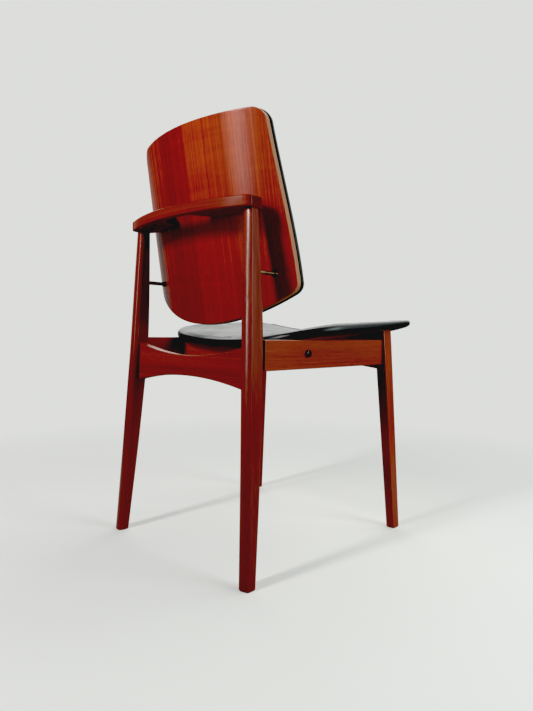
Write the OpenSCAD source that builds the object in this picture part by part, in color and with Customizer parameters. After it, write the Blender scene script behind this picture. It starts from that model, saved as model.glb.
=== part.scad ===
// Dining chair: four tapered legs, curved top rail, bent-ply back on brass rods and a
// dished ply seat that floats on a cross bearer. Back and seat are padded and covered.
// Millimetres. +Z is up, the sitter faces -Y, and +X is the sitter's left.
// The origin lies on the floor, below the middle of the whole chair.

/* [Legs] */
// Distance across the outer faces of the rear feet
rear_foot_span = 424; // [418:1:430]
// Distance between the front foot centres
front_foot_span = 436.8; // [430:0.1:440]
// Height of the rear legs' tops, where the top rail rests
rear_leg_h = 653.6; // [652:0.1:655]
// Radius of the soft inner corner at the back of each rear leg
rear_leg_soft_r = 9; // [7:0.5:10]

/* [Rails] */
// Height of the side rails' top edge
rail_top = 425; // [424:0.5:426]
// Height of the side rails themselves
rail_h = 55; // [52:1:56]
// Thickness of the side rails
rail_t = 20; // [18:1:20]
// Thickness of the front rail and the rear stretcher
cross_t = 18; // [17:1:18]
// Width of the seat bearer, front to back
bearer_w = 28; // [26:1:30]

/* [Top rail] */
// Thickness of the curved top rail
crest_t = 19.6; // [18:0.1:21]
// Half the length of the top rail
crest_half = 182; // [180:1:184]
// Depth of the rail that is left behind the hand hole
grip_rail_depth = 15; // [14:0.5:17]

/* [Back] */
// Outside radius of the bent back
back_r = 421; // [415:1:430]
// Lean of the back from upright, in degrees
back_lean = 9.85; // [9.5:0.05:10.2]
// Thickness of the back's plywood
back_ply = 9.7; // [9:0.1:10]
// Height of the back's top edge
back_top = 831.5; // [825:0.5:835]
// Height of the back's bottom edge at its middle
back_bottom = 453.6; // [450:0.1:456]

/* [Seat] */
// Half width of the seat at its front corners
seat_half = 244.5; // [240:0.5:246]
// Thickness of the seat's plywood
seat_ply = 7; // [6.5:0.1:7.2]
// How far the seat's sides rise, per square millimetre from its middle line
seat_dish = 0.00052; // [0.0005:0.00001:0.00053]

/* [Fittings] */
// Diameter of the brass back rods
rod_d = 8; // [7:0.5:9]
// Diameter of the caps over the bearer bolts
plug_d = 14; // [13:0.5:15]
// Diameter of the side rail and top rail dowels
dowel_d = 10; // [8:1:10]
// Diameter of the dowels in the front rail, the stretcher and the bearer
small_dowel_d = 8; // [7:1:8]

/* [Hidden] */
$fn = 64;

WOOD = [0.50, 0.17, 0.07];
PLY = [0.78, 0.58, 0.38];
DOWEL = [0.85, 0.72, 0.52];
BLACK = [0.07, 0.07, 0.07];
FOAM = [0.85, 0.80, 0.62];
BRASS = [0.80, 0.62, 0.28];
STEEL = [0.65, 0.66, 0.68];

fit_gap = 0.1;
joint_gap = 1.2;
far = 1000;

// ---- Legs -------------------------------------------------------------------
// Each table runs along the height. A rear leg is set out from its crisp outer rear
// corner, and rear_deep is the depth of its outer face. A front leg is set out from its
// centre line.
rear_out = [[0, rear_foot_span / 2], [400, 190.6], [520, 185], [rear_leg_h, 177.2]];
rear_back = [[0, 246.6], [200, 234.4], [400, 223.7], [520, 219], [rear_leg_h, 213.6]];
rear_wide = [[0, 23.5], [400, 25], [520, 24.7], [rear_leg_h, 21.9]];
rear_deep = [[0, 17.7], [200, 25.8], [400, 30.9], [520, 25.5], [rear_leg_h, 17.3]];
front_leg_h = 452;
front_x = [[0, front_foot_span / 2], [front_leg_h, 191.5]];
front_y = [[0, -205.7], [front_leg_h, -189.1]];
front_wide = [[0, 19], [400, 24.5], [front_leg_h, 24.5]];
front_deep = [[0, 23], [400, 31], [front_leg_h, 31]];
leg_crisp_r = 2.5;
corner_steps = 5;
leg_rings = 16;
blend_reach = 50;

// A table's value, averaged over a stretch of height so that the bends are smooth
function eased(z, table) =
    (lookup(z - blend_reach, table) + lookup(z + blend_reach, table)
     + 2 * lookup(z, table)) / 4;
// Near both ends the plain value keeps the leg's own size
function along(z, table, top) =
    min(z, top - z) < blend_reach ? lookup(z, table) : eased(z, table);
function corner(cx, cy, r, a0) =
    [for (i = [0:corner_steps]) let (a = a0 + 90 * i / corner_steps)
        [cx + r * cos(a), cy + r * sin(a)]];
function placed(section, x, y, z) = [for (p = section) [p[0] + x, p[1] + y, z]];

// Front leg section about its centre
function front_section(wide, deep) =
    let (x = wide / 2, y = deep / 2, r = leg_crisp_r)
    concat(corner(x - r, y - r, r, 0), corner(r - x, y - r, r, 90),
           corner(r - x, r - y, r, 180), corner(x - r, r - y, r, 270));

// Rear leg section about its crisp corner: the back is a shallow arc, whose normal turns
// from back_turn_out to back_turn_in, and a soft corner takes it round to the inner face
back_turn_out = 32;
back_turn_in = 5;
function turning(start, r, a0, a1, n) =
    [for (i = [0:n]) let (a = a0 + (a1 - a0) * i / n)
        start + r * [sin(a) - sin(a0), cos(a) - cos(a0)]];
function rear_section(wide, deep) =
    let (soft = rear_leg_soft_r, r = leg_crisp_r,
         shallow_r = (wide - soft * (1 + sin(back_turn_in)))
                     / (sin(back_turn_out) - sin(back_turn_in)),
         shallow = turning([0, 0], shallow_r, back_turn_out, back_turn_in, 6),
         tight = turning(shallow[6], soft, back_turn_in, -90, 7))
    concat(shallow, [for (i = [1:7]) tight[i]],
           corner(r - wide, r - deep, r, 180), corner(-r, r - deep, r, 270));

// Closed skin over a list of rings with the same number of points
module skin(rings) {
    n = len(rings[0]);
    last = len(rings) - 1;
    polyhedron(
        points = [for (ring = rings) each ring],
        faces = concat(
            [[for (i = [0:n - 1]) i]],
            [for (k = [0:last - 1], i = [0:n - 1]) let (j = (i + 1) % n)
                each [[k * n + i, (k + 1) * n + i, (k + 1) * n + j],
                      [k * n + i, (k + 1) * n + j, k * n + j]]],
            [[for (i = [n - 1:-1:0]) last * n + i]]));
}

module rear_leg_blank(grow = 0) {
    skin([for (k = [0:leg_rings]) let (z = rear_leg_h * k / leg_rings)
        placed(rear_section(along(z, rear_wide, rear_leg_h) + 2 * grow,
                            along(z, rear_deep, rear_leg_h) + 2 * grow),
               along(z, rear_out, rear_leg_h) + grow,
               along(z, rear_back, rear_leg_h) + grow, z)]);
}

module front_leg_blank(grow = 0) {
    skin([for (k = [0:leg_rings]) let (z = front_leg_h * k / leg_rings)
        placed(front_section(along(z, front_wide, front_leg_h) + 2 * grow,
                             along(z, front_deep, front_leg_h) + 2 * grow),
               along(z, front_x, front_leg_h), along(z, front_y, front_leg_h), z)]);
}

// Draws the +X piece as it is or its mirror image on the -X side
module on_side(side) {
    if (side == "left") children();
    else mirror([1, 0, 0]) children();
}

// Draws a piece on both sides of the chair
module both_sides() {
    children();
    mirror([1, 0, 0]) children();
}

module rear_leg(side) {
    color(WOOD) on_side(side) difference() {
        rear_leg_blank();
        side_rail_dowel_bores();
        stretcher_dowel_bores();
        crest_dowel_bore();
        back_rod_bore();
    }
}

module front_leg(side) {
    color(WOOD) on_side(side) difference() {
        front_leg_blank();
        above_seat_underside(front_rail_y);
        side_rail_dowel_bores();
        front_rail_dowel_bores();
    }
}

// ---- Rails ------------------------------------------------------------------
rail_rear = [183, 208];
rail_front = [190.5, -190];
rail_rear_end = 193.5;
rail_front_end = -176.4;
rail_angle = atan((rail_front[0] - rail_rear[0]) / (rail_rear[1] - rail_front[1]));
rail_blank_l = 400;
function rail_centre_x(y) =
    rail_rear[0] + (rail_rear[1] - y) * tan(rail_angle);

module side_rail(side) {
    color(WOOD) on_side(side) difference() {
        translate([rail_rear[0], rail_rear[1], rail_top - rail_h])
            rotate([0, 0, rail_angle])
                translate([-rail_t / 2, -rail_blank_l, 0]) cube([rail_t, rail_blank_l, rail_h]);
        translate([0, rail_rear_end, 0]) cube([far, far, far]);
        translate([0, rail_front_end - far, 0]) cube([far, far, far]);
        rear_leg_blank(joint_gap);
        front_leg_blank();
        side_rail_dowel_bores();
        bearer_bolt_bore();
        bearer_dowel_bore();
    }
}

front_rail_y = -190;
front_rail_low = 371;
front_rail_arch_r = 1500;
front_rail_arch_rise = 6;

module front_rail() {
    color(WOOD) difference() {
        translate([-200, front_rail_y - cross_t / 2, front_rail_low - front_rail_arch_rise])
            cube([400, cross_t, 100]);
        translate([0, front_rail_y, front_rail_low - front_rail_arch_r])
            rotate([90, 0, 0]) cylinder(h = 2 * cross_t, r = front_rail_arch_r,
                                        center = true, $fn = 360);
        above_seat_underside(front_rail_y);
        both_sides() front_leg_blank();
        both_sides() front_rail_dowel_bores();
        seat_screw_holes(front_rail_y, front_rail_low, front_rail_screw_x);
    }
}

stretcher_y = 206;
stretcher_top = 391.5;
stretcher_low = 351.5;
stretcher_top_r = 640;
stretcher_low_r = 790;
stretcher_blank_z = 328;
stretcher_blank_h = 82;

module rear_stretcher() {
    color(WOOD) difference() {
        translate([-180, stretcher_y - cross_t / 2, stretcher_blank_z])
            cube([360, cross_t, stretcher_blank_h]);
        translate([0, stretcher_y, stretcher_top + stretcher_top_r])
            rotate([90, 0, 0]) cylinder(h = 2 * cross_t, r = stretcher_top_r,
                                        center = true, $fn = 360);
        translate([0, stretcher_y, stretcher_low - stretcher_low_r])
            rotate([90, 0, 0]) cylinder(h = 2 * cross_t, r = stretcher_low_r,
                                        center = true, $fn = 360);
        both_sides() rear_leg_blank();
        both_sides() beyond_leg_inner_face();
        both_sides() stretcher_dowel_bores();
    }
}

// Everything outward of the plane of the rear leg's inner face at the stretcher
module beyond_leg_inner_face() {
    low = stretcher_blank_z;
    high = stretcher_blank_z + stretcher_blank_h;
    low_x = along(low, rear_out, rear_leg_h) - along(low, rear_wide, rear_leg_h);
    high_x = along(high, rear_out, rear_leg_h) - along(high, rear_wide, rear_leg_h);
    translate([low_x, stretcher_y, low]) rotate([0, atan((high_x - low_x) / (high - low)), 0])
        translate([fit_gap, -cross_t, -cross_t])
            cube([far, 2 * cross_t, stretcher_blank_h + 2 * cross_t]);
}

bearer_y = 79;
bearer_low = 378;

module seat_bearer() {
    end_x = rail_centre_x(bearer_y) - rail_t / 2 / cos(rail_angle) - fit_gap;
    color(WOOD) difference() {
        translate([0, 0, bearer_low]) linear_extrude(height = 60) polygon([
            for (c = [[-1, -1], [1, -1], [1, 1], [-1, 1]])
                [c[0] * (end_x - c[1] * bearer_w / 2 * tan(rail_angle)),
                 bearer_y + c[1] * bearer_w / 2]]);
        above_seat_underside(bearer_y);
        translate([-200, bearer_y - bearer_w, rail_top]) cube([400, 2 * bearer_w, 60]);
        both_sides() bearer_bolt_bore();
        both_sides() bearer_dowel_bore();
        seat_screw_holes(bearer_y, bearer_low, bearer_screw_x);
    }
}

// ---- Top rail ---------------------------------------------------------------
crest_rear_y = 260;
crest_plan_r = 473;
crest_front_y = 186;
crest_end_r = 13;
grip_inner_x = 36;
grip_outer_x = 64;
grip_end_y = 200;
grip_steps = 6;
crest_blank_y = 150;
crest_blank_x = 70;

function crest_rear(x) =
    crest_rear_y - crest_plan_r + sqrt(crest_plan_r * crest_plan_r - x * x);
// Front edge of the hand hole: a slow S from the thin middle to the deep ends
function grip_edge(t) =
    [grip_inner_x + (grip_outer_x - grip_inner_x) * t,
     let (a = crest_rear(grip_inner_x) - grip_rail_depth)
        grip_end_y + (a - grip_end_y) * (1 + cos(180 * t)) / 2];
crest_half_plan = concat(
    [for (i = [0:12]) let (x = crest_half * i / 12) [x, crest_rear(x)]],
    [for (i = [0:6]) let (a = -90 * i / 6)
        [crest_half - crest_end_r + crest_end_r * cos(a),
         crest_front_y + crest_end_r + crest_end_r * sin(a)]],
    [[crest_blank_x, crest_blank_y], [grip_outer_x + 2, crest_blank_y]],
    [for (i = [grip_steps:-1:0]) grip_edge(i / grip_steps)],
    [[0, crest_rear(0) - grip_rail_depth]]);

module crest_rail() {
    color(WOOD) difference() {
        translate([0, 0, rear_leg_h]) linear_extrude(height = crest_t)
            polygon(concat(crest_half_plan,
                           [for (i = [len(crest_half_plan) - 2:-1:1])
                               [-crest_half_plan[i][0], crest_half_plan[i][1]]]));
        back_cylinder(back_r + fit_gap);
        both_sides() crest_dowel_bore();
        both_sides() crest_screw_holes(pilot_d);
    }
}

// ---- Back -------------------------------------------------------------------
back_ref_z = 650;
back_ref_y = 201.4;
back_axis_y = back_ref_y - back_r / cos(back_lean);

// Solid cylinder about the back's leaning axis
module back_cylinder(r) {
    translate([0, back_axis_y, back_ref_z]) rotate([-back_lean, 0, 0])
        cylinder(h = 2 * far, r = r, center = true, $fn = 360);
}

// Outline of the back, seen from behind, walked up the +X side
back_side_x = 209;
back_side_z = back_bottom + 78.7;
back_low_r = 370;
back_low_corner_r = 26;
back_top_x = 183.3;
back_top_r = 22;
back_side_bow = 0.75;
low_arc_end = asin((back_side_x - back_low_corner_r) / (back_low_r - back_low_corner_r));
low_corner_z = back_bottom + back_low_r
    - (back_low_r - back_low_corner_r) * cos(low_arc_end);

function back_half(inset) = concat(
    [for (i = [0:8]) let (a = low_arc_end * i / 8, r = back_low_r - inset)
        [r * sin(a), back_bottom + back_low_r - r * cos(a)]],
    [for (i = [1:5]) let (a = low_arc_end + (90 - low_arc_end) * i / 5,
                          r = back_low_corner_r - inset)
        [back_side_x - back_low_corner_r + r * sin(a), low_corner_z - r * cos(a)]],
    [for (i = [1:8]) let (t = i / 8, z0 = low_corner_z, z1 = back_top - back_top_r)
        [back_side_x - inset
         - (back_side_x - back_top_x) * (t - back_side_bow * t * (1 - t) * (1 - t)),
         z0 + (z1 - z0) * t]],
    [for (i = [1:5]) let (a = 90 * i / 5, r = back_top_r - inset)
        [back_top_x - back_top_r + r * cos(a), back_top - back_top_r + r * sin(a)]],
    [for (i = [1:4]) [(back_top_x - back_top_r) * (1 - i / 4), back_top - inset]]);
function mirrored(half) =
    concat(half, [for (i = [len(half) - 2:-1:1]) [-half[i][0], half[i][1]]]);

// Depth of the face that lies at radius r, at width x and height z
function back_face_y(x, z, r) =
    back_axis_y + (z - back_ref_z) * tan(back_lean) + sqrt(r * r - x * x) / cos(back_lean);

module back_shell() {
    color(PLY) difference() {
        intersection() {
            translate([0, far / 2, 0]) rotate([90, 0, 0])
                linear_extrude(height = far) polygon(mirrored(back_half(0)));
            back_cylinder(back_r);
            translate([-far / 2, back_ref_y - 110, 0]) cube([far, far, far]);
        }
        back_cylinder(back_r - back_ply);
        both_sides() crest_screw_holes(shank_d);
        both_sides() back_rod_bore();
    }
}

// Each row of a pad's skin gives its share of the outline, inset from it, lift off the
// board and share of the crown. The rows run from the middle of one face, over the rim,
// to the middle of the other.
back_edge_h = 5.6;
back_crown = 9;
back_cover_t = 1.4;
back_middle = [0, 640];

// One ring of the back's padding; lift is measured off the board's front face
function back_ring(share, inset, lift, crown) =
    [for (p = mirrored(back_half(inset)))
        let (x = p[0] * share, z = back_middle[1] + (p[1] - back_middle[1]) * share,
             out = lift + back_crown * crown * (1 - share * share * (1 - inset / 60)))
        [x, back_face_y(x, z, back_r - back_ply) - out, z]];

module capped_skin(rings, first, last_point) {
    n = len(rings[0]);
    m = len(rings);
    polyhedron(
        points = concat([for (ring = rings) each ring], [first, last_point]),
        faces = concat(
            [for (i = [0:n - 1]) [m * n, (i + 1) % n, i]],
            [for (k = [0:m - 2], i = [0:n - 1]) let (j = (i + 1) % n)
                each [[k * n + i, k * n + j, (k + 1) * n + j],
                      [k * n + i, (k + 1) * n + j, (k + 1) * n + i]]],
            [for (i = [0:n - 1]) [m * n + 1, (m - 1) * n + i, (m - 1) * n + (i + 1) % n]]));
}

function back_rings(rows) = [for (row = rows) back_ring(row[0], row[1], row[2], row[3])];
function back_point(lift, crown) =
    [0, back_face_y(0, back_middle[1], back_r - back_ply) - lift - back_crown * crown,
     back_middle[1]];

module back_pad() {
    top = back_edge_h - back_cover_t - fit_gap;
    rows = [[0.3, 0, top, 1], [0.6, 0, top, 1], [0.85, 0, top, 1], [1, 12, top, 1],
            [1, 4, top - 1.5, 1], [1, 2.6, 2, 0], [1, 2.6, fit_gap, 0],
            [0.8, 0, fit_gap, 0], [0.4, 0, fit_gap, 0]];
    color(FOAM) capped_skin(back_rings(rows), back_point(top, 1), back_point(fit_gap, 0));
}

module back_cover() {
    top = back_edge_h;
    under = back_edge_h - back_cover_t;
    rows = [[0.3, 0, top, 1], [0.6, 0, top, 1], [0.85, 0, top, 1], [1, 12, top, 1],
            [1, 4, top - 1, 1], [1, 1.2, 3, 0], [1, 0.8, fit_gap, 0], [1, 2.4, fit_gap, 0],
            [1, 2.5, 2.2, 0], [1, 3.9, under - 1.5, 1], [1, 12, under, 1],
            [0.85, 0, under, 1], [0.6, 0, under, 1], [0.3, 0, under, 1]];
    color(BLACK) capped_skin(back_rings(rows), back_point(top, 1), back_point(under, 1));
}

// ---- Seat -------------------------------------------------------------------
// Height of the seat's upper face on its middle line, and its dish across
seat_mid_z = 428.35;
seat_fall = 0.0396;
seat_sway = 0.000047;
seat_flare = 0.000305;
function seat_z(x, y) =
    seat_mid_z - seat_fall * y - seat_sway * y * y
    + seat_dish * (1 - seat_flare * y) * x * x;

// Outline of the seat: four corner arcs joined by slightly bowed edges
seat_front_y = -248.4;
seat_rear_y = 118.6;
seat_rear_half = 229.3;
seat_front_r = 46;
seat_rear_r = 109.5;
front_bow = 11.6;
rear_bow = 5.3;
side_bow = 5.4;
seat_middle = [0, -70];

function arc(cx, cy, r, a0, a1, n) =
    [for (i = [0:n]) let (a = a0 + (a1 - a0) * i / n) [cx + r * cos(a), cy + r * sin(a)]];
function between(a, b, n) = [for (i = [1:n - 1]) a + (b - a) * i / n];
function bowed(p) =
    let (t = (p[1] - seat_front_y) / (seat_rear_y - seat_front_y),
         front = max(0, 1 - pow(p[0] / seat_half, 2)) * pow(1 - t, 4),
         rear = max(0, 1 - pow(p[0] / seat_rear_half, 2)) * pow(t, 4))
    [p[0] * (1 + side_bow / seat_half * 4 * t * (1 - t)),
     p[1] - front_bow * front + rear_bow * rear];
seat_straight_half = let (
    side_tilt = atan((seat_half - seat_rear_half - 4) / (seat_rear_y - seat_front_y)),
    front_arc = arc(seat_half - seat_front_r, seat_front_y + seat_front_r, seat_front_r,
                    -90, side_tilt, 5),
    rear_arc = arc(seat_rear_half - seat_rear_r, seat_rear_y - seat_rear_r, seat_rear_r,
                   side_tilt, 90, 7))
    concat([for (i = [0:2]) [(seat_half - seat_front_r) * i / 3, seat_front_y]],
           front_arc,
           between(front_arc[5], rear_arc[0], 6),
           rear_arc,
           [for (i = [1:2]) [(seat_rear_half - seat_rear_r) * (1 - i / 2), seat_rear_y]]);
seat_outline = [for (p = mirrored(seat_straight_half)) bowed(p)];

// Unit normal of the outline at point i, pointing outward
function outward(i) =
    let (n = len(seat_outline), a = seat_outline[(i + n - 1) % n],
         b = seat_outline[(i + 1) % n], d = b - a) [d[1], -d[0]] / norm(d);

seat_crown = 7;
// One ring of the seat; drop is measured down from the rim's upper face
function seat_ring(share, inset, drop, crown) =
    [for (i = [0:len(seat_outline) - 1])
        let (q = seat_outline[i] - outward(i) * inset,
             p = seat_middle + (q - seat_middle) * share,
             lift = seat_crown * crown * (1 - share * share * (1 - inset / 60)))
        [p[0], p[1], seat_z(p[0], p[1]) - drop + lift]];
function seat_rings(rows) = [for (row = rows) seat_ring(row[0], row[1], row[2], row[3])];
function seat_point(drop, crown) =
    [0, seat_middle[1], seat_z(0, seat_middle[1]) - drop + seat_crown * crown];

seat_top_drop = 5;
seat_low_drop = seat_top_drop + seat_ply;
cover_t = 1.5;
hem_drop = 15.4;
hem_w = 12;

module seat_shell() {
    top = seat_top_drop;
    low = seat_low_drop;
    rim = cover_t + fit_gap;
    rows = [[0.25, 0, top, 0], [0.5, 0, top, 0], [0.75, 0, top, 0], [1, 20, top, 0],
            [1, rim, top, 0], [1, rim, low, 0], [1, 20, low, 0],
            [0.75, 0, low, 0], [0.5, 0, low, 0], [0.25, 0, low, 0]];
    color(PLY) difference() {
        capped_skin(seat_rings(rows), seat_point(top, 0), seat_point(low, 0));
        seat_pilot_holes();
    }
}

module seat_pad() {
    top = cover_t + fit_gap;
    low = seat_top_drop - fit_gap;
    rows = [[0.3, 0, top, 1], [0.6, 0, top, 1], [0.85, 0, top, 1], [1, 20, top, 1],
            [1, 7, top + 0.8, 1], [1, cover_t + 1, low - 0.4, 0], [1, cover_t + 1, low, 0],
            [0.7, 0, low, 0], [0.35, 0, low, 0]];
    color(FOAM) capped_skin(seat_rings(rows), seat_point(top, 1), seat_point(low, 0));
}

module seat_cover() {
    under = seat_low_drop + fit_gap;
    rows = [[0.3, 0, 0, 1], [0.6, 0, 0, 1], [0.85, 0, 0, 1], [1, 20, 0, 1], [1, 7, 0.5, 1],
            [1, 1.6, 1.4, 0], [1, 0, 5, 0], [1, 0, 11, 0], [1, 1.2, 14.4, 0],
            [1, 3, hem_drop, 0], [1, hem_w, hem_drop, 0], [1, hem_w, under, 0],
            [1, cover_t, under, 0], [1, cover_t, 4.4, 0], [1, 7, cover_t + 0.7, 1],
            [1, 20, cover_t, 1], [0.85, 0, cover_t, 1], [0.6, 0, cover_t, 1],
            [0.3, 0, cover_t, 1]];
    color(BLACK) capped_skin(seat_rings(rows), seat_point(0, 1), seat_point(cover_t, 1));
}

// Everything above the seat's underside near depth y: a long cylinder along the seat's
// fall, whose radius is that of the dish there
module above_seat_underside(y) {
    dish_r = 1 / (2 * seat_dish * (1 - seat_flare * y));
    fall = seat_fall + 2 * seat_sway * y;
    translate([0, y, seat_z(0, y) - seat_low_drop - fit_gap + dish_r])
        rotate([atan(1 / fall), 0, 0])
            cylinder(h = far, r = dish_r, center = true, $fn = 360);
}

// ---- Fasteners and bores ----------------------------------------------------
module rod_y(x, y0, y1, z, d) {
    translate([x, y0, z]) rotate([-90, 0, 0]) cylinder(h = y1 - y0, d = d);
}
module rod_x(x0, x1, y, z, d) {
    translate([x0, y, z]) rotate([0, 90, 0]) cylinder(h = x1 - x0, d = d);
}

side_dowel_z = [383, 411];
side_dowel_y = [195, -176];
side_dowel_half = 18;
module side_rail_dowel_set(extra) {
    for (z = side_dowel_z, y = side_dowel_y) {
        reach = side_dowel_half + extra;
        rod_y(rail_centre_x(y), y - reach, y + reach, z, dowel_d);
    }
}
module side_rail_dowel_bores() side_rail_dowel_set(1);

front_dowel_z = [384, 402];
front_dowel_x = [170, 196];
module front_rail_dowel_set(extra)
    for (z = front_dowel_z)
        rod_x(front_dowel_x[0] - extra, front_dowel_x[1] + extra, front_rail_y, z,
              small_dowel_d);
module front_rail_dowel_bores() front_rail_dowel_set(1);

stretcher_dowel_z = [352, 386];
stretcher_dowel_x = [150, 177.5];
module stretcher_dowel_set(extra)
    for (z = stretcher_dowel_z)
        rod_x(stretcher_dowel_x[0] - extra, stretcher_dowel_x[1] + extra, stretcher_y, z,
              small_dowel_d);
module stretcher_dowel_bores() stretcher_dowel_set(1);

crest_dowel_at = [166, 206];
crest_dowel_l = 40;
crest_dowel_in_leg = 26;
module crest_dowel(extra)
    translate([crest_dowel_at[0], crest_dowel_at[1],
               rear_leg_h - crest_dowel_in_leg - extra])
        cylinder(h = crest_dowel_l + 2 * extra, d = dowel_d);
module crest_dowel_bore() crest_dowel(0.5);

rod_z = 545;
rod_x_pos = 171;
rod_leg_end = 207;
rod_panel_end = back_face_y(rod_x_pos, rod_z, back_r) - 5;
collar_t = 2.5;
collar_d = 11;
module back_rod_shape() rod_y(rod_x_pos, rod_panel_end, rod_leg_end, rod_z, rod_d);
module back_rod_bore() rod_y(rod_x_pos, rod_panel_end, rod_leg_end, rod_z, rod_d);

module back_rod(side) color(BRASS) on_side(side) back_rod_shape();

// Turned collar against the panel's rear face, cut to its slope
module back_rod_collars() {
    color(BRASS) both_sides() difference() {
        y0 = back_face_y(rod_x_pos, rod_z, back_r);
        rod_y(rod_x_pos, y0 - 4, y0 + collar_t + 2, rod_z, collar_d);
        back_cylinder(back_r + fit_gap);
        rod_y(rod_x_pos, y0 - 20, y0 + 20, rod_z, rod_d);
    }
}

pilot_d = 3.5;
shank_d = 4.2;
screw_head_d = 8;
screw_head_h = 2.4;
back_screw_x = [82, 104];
back_screw_z = rear_leg_h + crest_t / 2;
back_screw_l = 30;
back_screw_sunk = 0.6;
function back_screw_y(x) = back_face_y(x, back_screw_z, back_r - back_ply);
module crest_screw_holes(d) {
    for (x = back_screw_x) {
        rod_y(x, back_screw_y(x) - 5, back_screw_y(x) + back_screw_l, back_screw_z, d);
        rod_y(x, back_screw_y(x) - 5, back_screw_y(x) + screw_head_h + back_screw_sunk,
              back_screw_z, screw_head_d);
    }
}
module back_screws() {
    color(STEEL) both_sides() for (x = back_screw_x) {
        y0 = back_screw_y(x) + back_screw_sunk;
        translate([x, y0, back_screw_z]) rotate([-90, 0, 0]) {
            cylinder(h = screw_head_h, d = screw_head_d - 0.4);
            cylinder(h = back_screw_l - 1, d = pilot_d);
        }
    }
}

bearer_screw_x = [60, 130];
front_rail_screw_x = [70, 140];
seat_screw_d = 4;
seat_screw_l = 26;
seat_head_d = 9;
function seat_under(x, y) = seat_z(x, y) - seat_low_drop;
module seat_screw_holes(y, low, xs) {
    both_sides() for (x = xs) {
        head_z = seat_under(x, y) + 4.5 - seat_screw_l;
        translate([x, y, low - far / 2]) cylinder(h = head_z - low + far / 2, d = seat_head_d);
        translate([x, y, head_z - 1]) cylinder(h = seat_screw_l + 10, d = seat_screw_d);
    }
}
module seat_pilot_holes() {
    both_sides() {
        for (x = bearer_screw_x) seat_pilot(x, bearer_y);
        for (x = front_rail_screw_x) seat_pilot(x, front_rail_y);
    }
}
module seat_pilot(x, y)
    translate([x, y, seat_under(x, y) - 5]) cylinder(h = 9.5, d = seat_screw_d);
module seat_screw(x, y)
    translate([x, y, seat_under(x, y) + 4.3 - seat_screw_l]) {
        cylinder(h = seat_screw_l, d = seat_screw_d);
        translate([0, 0, -2.6]) cylinder(h = 2.7, d = seat_head_d - 0.6);
    }
module seat_screws() {
    color(STEEL) both_sides() {
        for (x = bearer_screw_x) seat_screw(x, bearer_y);
        for (x = front_rail_screw_x) seat_screw(x, front_rail_y);
    }
}

bolt_z = 399;
bolt_d = 6;
bolt_head_d = 13;
bolt_head_h = 4;
bolt_l = 60;
bolt_counterbore = 5.4;
bolt_seat_x = rail_centre_x(bearer_y) + rail_t / 2 - bolt_counterbore;
bearer_dowel_z = 387;
bearer_dowel_offset = 8;
bearer_dowel_d = 6;
bearer_dowel_in = 26;
bearer_dowel_out = 5;
module bearer_bolt_bore() {
    rod_x(bolt_seat_x - bolt_l - 1, bolt_seat_x + 30, bearer_y, bolt_z, bolt_d);
    rod_x(bolt_seat_x, bolt_seat_x + 30, bearer_y, bolt_z, plug_d);
}
module bearer_bolts() {
    color(STEEL) both_sides() {
        rod_x(bolt_seat_x - bolt_l, bolt_seat_x + 0.1, bearer_y, bolt_z, bolt_d);
        rod_x(bolt_seat_x + 0.1, bolt_seat_x + bolt_head_h - 0.6, bearer_y, bolt_z,
              bolt_head_d);
    }
}
module bearer_dowel(extra)
    rod_x(rail_centre_x(bearer_y) - bearer_dowel_in - extra,
          rail_centre_x(bearer_y) + bearer_dowel_out + extra,
          bearer_y - bearer_dowel_offset, bearer_dowel_z, bearer_dowel_d);
module bearer_dowel_bore() bearer_dowel(0.5);
module bearer_dowels() color(DOWEL) both_sides() bearer_dowel(0);

// Turned cap in the bolt's counterbore, standing proud of the rail with a domed face
plug_proud = 5;
module rail_plug(side) {
    in_x = bolt_seat_x + bolt_head_h - 0.4;
    out_x = rail_centre_x(bearer_y) + rail_t / 2 + plug_proud;
    color(BLACK) on_side(side) translate([in_x, bearer_y, bolt_z]) rotate([0, 90, 0])
        rotate_extrude() polygon([
            [0, 0], [plug_d / 2, 0], [plug_d / 2, out_x - in_x - 1.6],
            [plug_d / 2 - 0.6, out_x - in_x - 0.6], [plug_d / 2 - 2, out_x - in_x], [0, out_x - in_x]]);
}

module side_rail_dowels() color(DOWEL) both_sides() side_rail_dowel_set(0);
module front_rail_dowels() color(DOWEL) both_sides() front_rail_dowel_set(0);
module stretcher_dowels() color(DOWEL) both_sides() stretcher_dowel_set(0);
module crest_dowels() color(DOWEL) both_sides() crest_dowel(0);

rear_leg("left");  // rear_leg_left
rear_leg("right");  // rear_leg_right
front_leg("left");  // front_leg_left
front_leg("right");  // front_leg_right
side_rail("left");  // side_rail_left
side_rail("right");  // side_rail_right
front_rail();
rear_stretcher();
seat_bearer();
crest_rail();
back_shell();
back_pad();
back_cover();
back_rod("left");  // back_rod_left
back_rod("right");  // back_rod_right
back_rod_collars();
back_screws();
seat_shell();
seat_pad();
seat_cover();
seat_screws();
rail_plug("left");  // rail_plug_left
rail_plug("right");  // rail_plug_right
bearer_bolts();
bearer_dowels();
side_rail_dowels();
front_rail_dowels();
stretcher_dowels();
crest_dowels();
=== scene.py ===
"""Dining chair: the looks of every piece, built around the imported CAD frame, in metres."""
from math import asin, atan2, cos, exp, hypot, pi, radians, sin, sqrt, tan

import bmesh
import bpy
from mathutils import Matrix, Vector


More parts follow.
